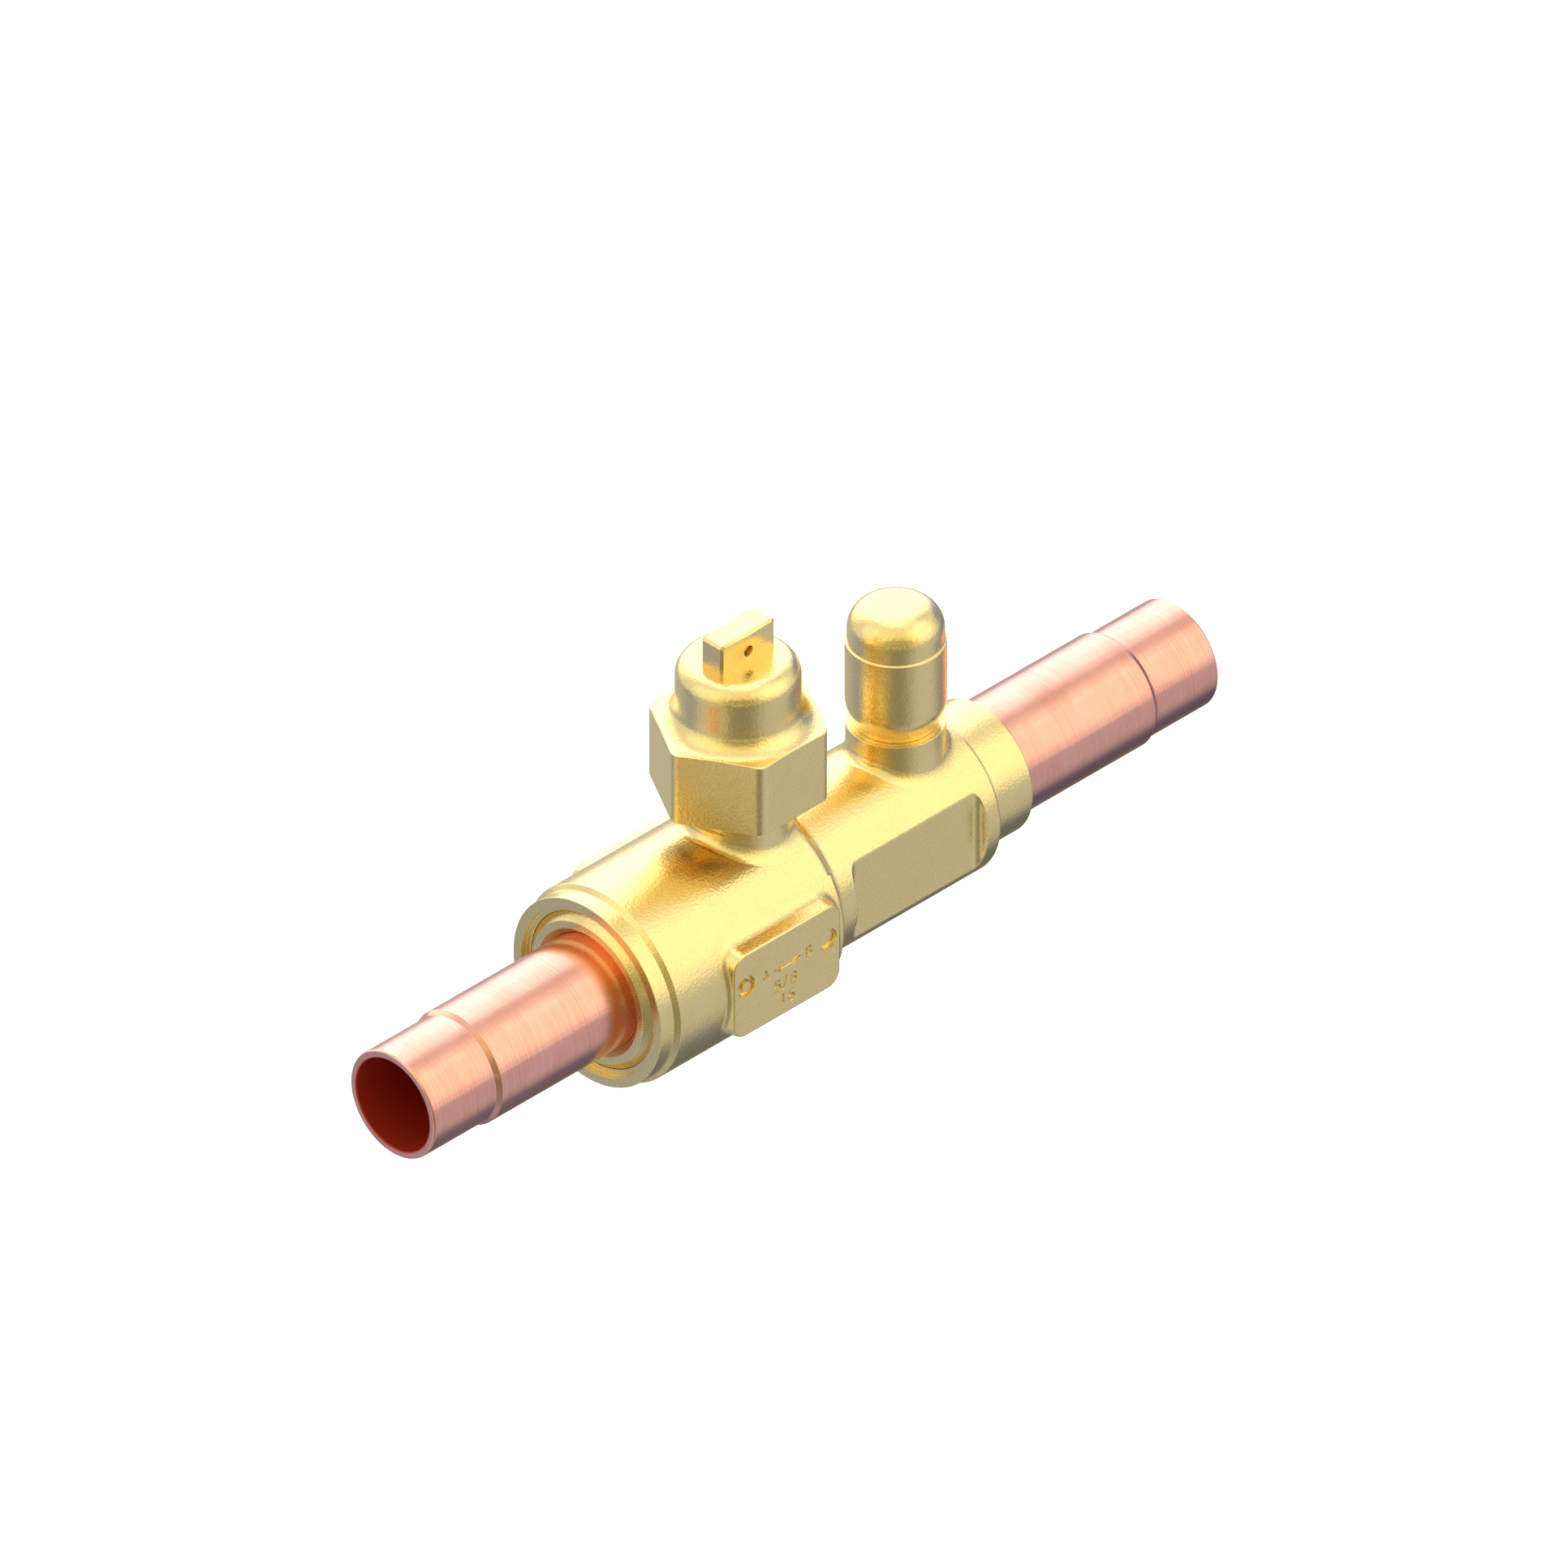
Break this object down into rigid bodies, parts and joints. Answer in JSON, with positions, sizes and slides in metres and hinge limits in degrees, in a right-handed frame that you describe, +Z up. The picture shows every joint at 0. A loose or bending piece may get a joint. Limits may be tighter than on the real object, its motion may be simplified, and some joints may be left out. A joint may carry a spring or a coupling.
{
  "type": "shut-off ball valve",
  "caption": "Brass shut-off ball valve with copper solder ends, a hexagon sealing cap with a key blade over the stem, and a round cap on its service port.",
  "frame": {"origin": "on the pipe axis at the mouth of the inlet socket", "axes": "+X along the pipe from inlet to outlet, +Z up along the stem towards its cap, +Y to the left when looking from inlet to outlet"},
  "size_m": [0.1708, 0.0356, 0.0694],
  "materials": {
    "forged_brass": "bright dipped forging with turned faces",
    "turned_brass": "turned",
    "copper_tube": "bright drawn copper",
    "plated_ball": "polished plating",
    "seat_plastic": "white fluoropolymer",
    "gasket_plastic": "smooth",
    "seal_rubber": "smooth",
    "spring_steel": "bright"
  },
  "bodies": {
    "valve": {"valve_body": "forged_brass", "seat_retainer": "turned_brass", "inlet_tube": "copper_tube", "outlet_tube": "copper_tube", "inlet_seat": "seat_plastic", "outlet_seat": "seat_plastic", "seat_spring": "spring_steel", "retainer_o_ring": "seal_rubber", "stem_washer": "seat_plastic", "service_fitting": "turned_brass", "core_housing": "turned_brass", "core_gasket": "seat_plastic", "core_spring": "spring_steel"},
    "spindle": {"ball": "plated_ball", "stem": "turned_brass", "stem_o_ring_lower": "seal_rubber", "stem_o_ring_upper": "seal_rubber", "stop_pin": "spring_steel"},
    "stem_cap_gasket": {"stem_cap_seal": "gasket_plastic"},
    "stem_cap": {"stem_cap": "forged_brass"},
    "service_cap_gasket": {"service_cap_seal": "gasket_plastic"},
    "service_cap": {"service_cap": "turned_brass"},
    "core_pin": {"core_pin": "spring_steel", "core_disc": "seal_rubber"}
  },
  "joints": [
    {"name": "stem_turn", "type": "hinge", "parent": "valve", "child": "spindle", "pos_m": [0.0753, 0, 0], "axis": [0, 0, 1], "range_deg": [-90, 0]},
    {"name": "stem_cap_rise", "type": "slide", "parent": "valve", "child": "stem_cap_gasket", "axis": [0, 0, 1], "range_m": [0, 0.00901]},
    {"name": "stem_cap_turn", "type": "hinge", "parent": "stem_cap_gasket", "child": "stem_cap", "pos_m": [0.0753, 0, 0], "axis": [0, 0, 1], "range_deg": [0, 2160]},
    {"name": "service_cap_rise", "type": "slide", "parent": "valve", "child": "service_cap_gasket", "axis": [0, 0, 1], "range_m": [0, 0.00636]},
    {"name": "service_cap_turn", "type": "hinge", "parent": "service_cap_gasket", "child": "service_cap", "pos_m": [0.10964, 0, 0], "axis": [0, 0, 1], "range_deg": [0, 1800]},
    {"name": "core_pin_press", "type": "slide", "parent": "valve", "child": "core_pin", "axis": [0, 0, -1], "range_m": [0, 0.0012], "stiffness_N_per_m": 1500, "springref_m": -0.0008, "deforming": ["core_spring"]}
  ],
  "couplings": [
    {"joint": "stem_cap_rise", "follows": "stem_cap_turn", "m_per_rad": 0.00023873},
    {"joint": "service_cap_rise", "follows": "service_cap_turn", "m_per_rad": 0.00020213}
  ]
}
